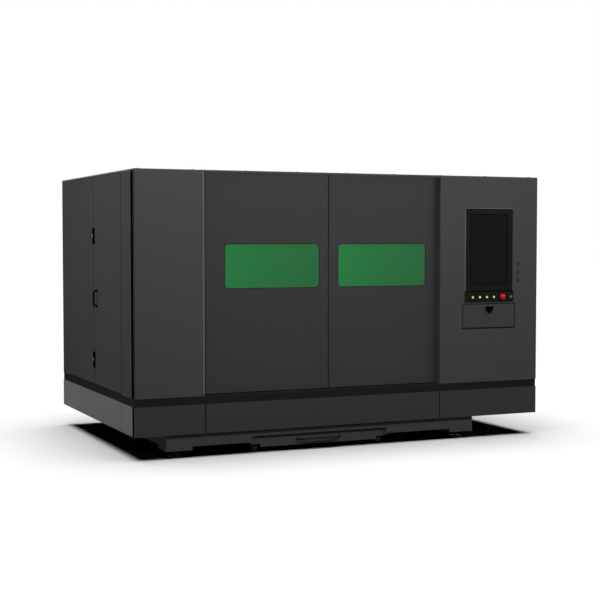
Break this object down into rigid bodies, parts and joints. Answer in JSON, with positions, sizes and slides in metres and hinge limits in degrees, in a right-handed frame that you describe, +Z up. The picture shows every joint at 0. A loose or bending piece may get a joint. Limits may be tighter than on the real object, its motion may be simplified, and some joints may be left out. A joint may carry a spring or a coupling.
{
  "type": "fiber laser cutting machine",
  "caption": "Enclosed flat-bed laser cutter with sliding front doors, green windows, a portrait screen console, side cabinet doors and a wheeled scrap drawer.",
  "frame": {"origin": "middle of the enclosure's footprint, on the floor", "axes": "+X to the right along the front, +Y to the back, +Z up"},
  "size_m": [2.959, 1.8708, 1.8],
  "materials": {
    "charcoal_paint": "textured powder coat",
    "dark_paint": "textured powder coat",
    "light_charcoal": "textured powder coat",
    "black_paint": "satin",
    "base_paint": "satin",
    "bed_paint": "satin",
    "safety_glass": "tinted",
    "display_glass": "gloss",
    "black_plastic": "matte",
    "grey_plastic": "matte",
    "plate_plastic": "matte",
    "green_plastic": "gloss",
    "red_plastic": "gloss",
    "slate_plastic": "satin",
    "steel": "machined",
    "mild_steel": "scorched",
    "galvanised": "galvanised",
    "aluminium": "anodised",
    "caster_rubber": "matte"
  },
  "bodies": {
    "frame": {"base_frame": "base_paint", "levelling_feet": "steel", "machine_bed": "bed_paint", "table_frame": "mild_steel", "table_slats": "mild_steel", "scrap_chute": "galvanised", "guide_rails": "steel", "sill_ring": "black_paint", "enclosure_frame": "base_paint", "front_corner_posts": "black_paint", "partitions": "base_paint", "front_panel_left": "charcoal_paint", "console_panel": "charcoal_paint", "front_skirt_left": "dark_paint", "front_skirt_centre": "dark_paint", "front_skirt_right": "dark_paint", "side_panel_front": "charcoal_paint", "side_panel_rear": "charcoal_paint", "side_door_pivots": "steel", "side_skirt_left": "light_charcoal", "side_skirt_right": "light_charcoal", "rear_skirt": "dark_paint", "right_side_panels": "charcoal_paint", "rear_panels": "charcoal_paint", "roof_panel": "charcoal_paint", "exhaust_collar": "galvanised", "door_rail": "steel", "screen_housing": "black_plastic", "screen_glass": "display_glass", "button_plate": "plate_plastic", "indicator_lamps": "grey_plastic", "laser_source": "galvanised", "drive_rack": "galvanised"},
    "left_door": {"front_door_left": "dark_paint", "window_left": "safety_glass"},
    "right_door": {"front_door_right": "dark_paint", "window_right": "safety_glass"},
    "front_cabinet_door": {"side_door_front": "charcoal_paint", "side_door_handle": "black_plastic"},
    "rear_cabinet_door": {"side_door_rear": "charcoal_paint"},
    "upper_latch": {"latch_upper": "black_plastic"},
    "lower_latch": {"latch_lower": "black_plastic"},
    "flap": {"keyboard_flap": "charcoal_paint", "keyboard": "black_plastic"},
    "knob": {"flap_knob": "black_plastic"},
    "estop": {"estop_button": "red_plastic"},
    "selector": {"selector_switch": "slate_plastic"},
    "drawer": {"scrap_drawer": "base_paint", "drawer_handle": "black_paint"},
    "gantry": {"gantry_beam": "aluminium"},
    "carriage": {"head_carriage": "aluminium"},
    "head": {"cutting_head": "aluminium"},
    "button_1": {"push_button_1": "green_plastic"},
    "button_2": {"push_button_2": "green_plastic"},
    "button_3": {"push_button_3": "green_plastic"},
    "button_4": {"push_button_4": "green_plastic"},
    "wheel_1": {"drawer_wheel_1": "caster_rubber"},
    "wheel_2": {"drawer_wheel_2": "caster_rubber"},
    "wheel_3": {"drawer_wheel_3": "caster_rubber"},
    "wheel_4": {"drawer_wheel_4": "caster_rubber"}
  },
  "joints": [
    {"name": "left_door_slide", "type": "slide", "parent": "frame", "child": "left_door", "axis": [1, 0, 0], "range_m": [-0.4, 0]},
    {"name": "right_door_slide", "type": "slide", "parent": "frame", "child": "right_door", "axis": [1, 0, 0], "range_m": [0, 0.64]},
    {"name": "front_cabinet_hinge", "type": "hinge", "parent": "frame", "child": "front_cabinet_door", "pos_m": [-1.456, -0.618, 1], "axis": [0, 0, 1], "range_deg": [0, 110]},
    {"name": "rear_cabinet_hinge", "type": "hinge", "parent": "frame", "child": "rear_cabinet_door", "pos_m": [-1.456, 0.753, 1], "axis": [0, 0, 1], "range_deg": [-110, 0]},
    {"name": "upper_latch_turn", "type": "hinge", "parent": "front_cabinet_door", "child": "upper_latch", "pos_m": [-1.465, 0.004, 1.391], "axis": [1, 0, 0], "range_deg": [-90, 0]},
    {"name": "lower_latch_turn", "type": "hinge", "parent": "front_cabinet_door", "child": "lower_latch", "pos_m": [-1.465, 0.004, 0.559], "axis": [1, 0, 0], "range_deg": [-90, 0]},
    {"name": "flap_hinge", "type": "hinge", "parent": "frame", "child": "flap", "pos_m": [1.0745, -0.894, 0.764], "axis": [1, 0, 0], "range_deg": [0, 90]},
    {"name": "flap_knob_turn", "type": "hinge", "parent": "flap", "child": "knob", "pos_m": [1.0745, -0.9, 0.887], "axis": [0, 1, 0], "range_deg": [-90, 0]},
    {"name": "estop_press", "type": "slide", "parent": "frame", "child": "estop", "axis": [0, 1, 0], "range_m": [0, 0.005], "stiffness_N_per_m": 900},
    {"name": "selector_turn", "type": "hinge", "parent": "frame", "child": "selector", "pos_m": [1.235, -0.9, 0.97], "axis": [0, 1, 0], "range_deg": [-56, 0]},
    {"name": "drawer_slide", "type": "slide", "parent": "frame", "child": "drawer", "axis": [0, 1, 0], "range_m": [-1.2, 0]},
    {"name": "gantry_slide", "type": "slide", "parent": "frame", "child": "gantry", "axis": [0, 1, 0], "range_m": [-0.9, 0]},
    {"name": "carriage_slide", "type": "slide", "parent": "gantry", "child": "carriage", "axis": [1, 0, 0], "range_m": [-0.56, 0.56]},
    {"name": "head_slide", "type": "slide", "parent": "carriage", "child": "head", "axis": [0, 0, 1], "range_m": [-0.11, 0]},
    {"name": "button_1_press", "type": "slide", "parent": "frame", "child": "button_1", "axis": [0, 1, 0], "range_m": [0, 0.003], "stiffness_N_per_m": 500},
    {"name": "button_2_press", "type": "slide", "parent": "frame", "child": "button_2", "axis": [0, 1, 0], "range_m": [0, 0.003], "stiffness_N_per_m": 500},
    {"name": "button_3_press", "type": "slide", "parent": "frame", "child": "button_3", "axis": [0, 1, 0], "range_m": [0, 0.003], "stiffness_N_per_m": 500},
    {"name": "button_4_press", "type": "slide", "parent": "frame", "child": "button_4", "axis": [0, 1, 0], "range_m": [0, 0.003], "stiffness_N_per_m": 500},
    {"name": "wheel_1_roll", "type": "hinge", "parent": "drawer", "child": "wheel_1", "pos_m": [-0.64, -0.81, 0.0245], "axis": [1, 0, 0], "continuous": true},
    {"name": "wheel_2_roll", "type": "hinge", "parent": "drawer", "child": "wheel_2", "pos_m": [0.254, -0.81, 0.0245], "axis": [1, 0, 0], "continuous": true},
    {"name": "wheel_3_roll", "type": "hinge", "parent": "drawer", "child": "wheel_3", "pos_m": [-0.64, 0.54, 0.0245], "axis": [1, 0, 0], "continuous": true},
    {"name": "wheel_4_roll", "type": "hinge", "parent": "drawer", "child": "wheel_4", "pos_m": [0.254, 0.54, 0.0245], "axis": [1, 0, 0], "continuous": true}
  ],
  "couplings": [
    {"joint": "wheel_1_roll", "follows": "drawer_slide", "rad_per_m": -40.816},
    {"joint": "wheel_2_roll", "follows": "drawer_slide", "rad_per_m": -40.816},
    {"joint": "wheel_3_roll", "follows": "drawer_slide", "rad_per_m": -40.816},
    {"joint": "wheel_4_roll", "follows": "drawer_slide", "rad_per_m": -40.816}
  ]
}
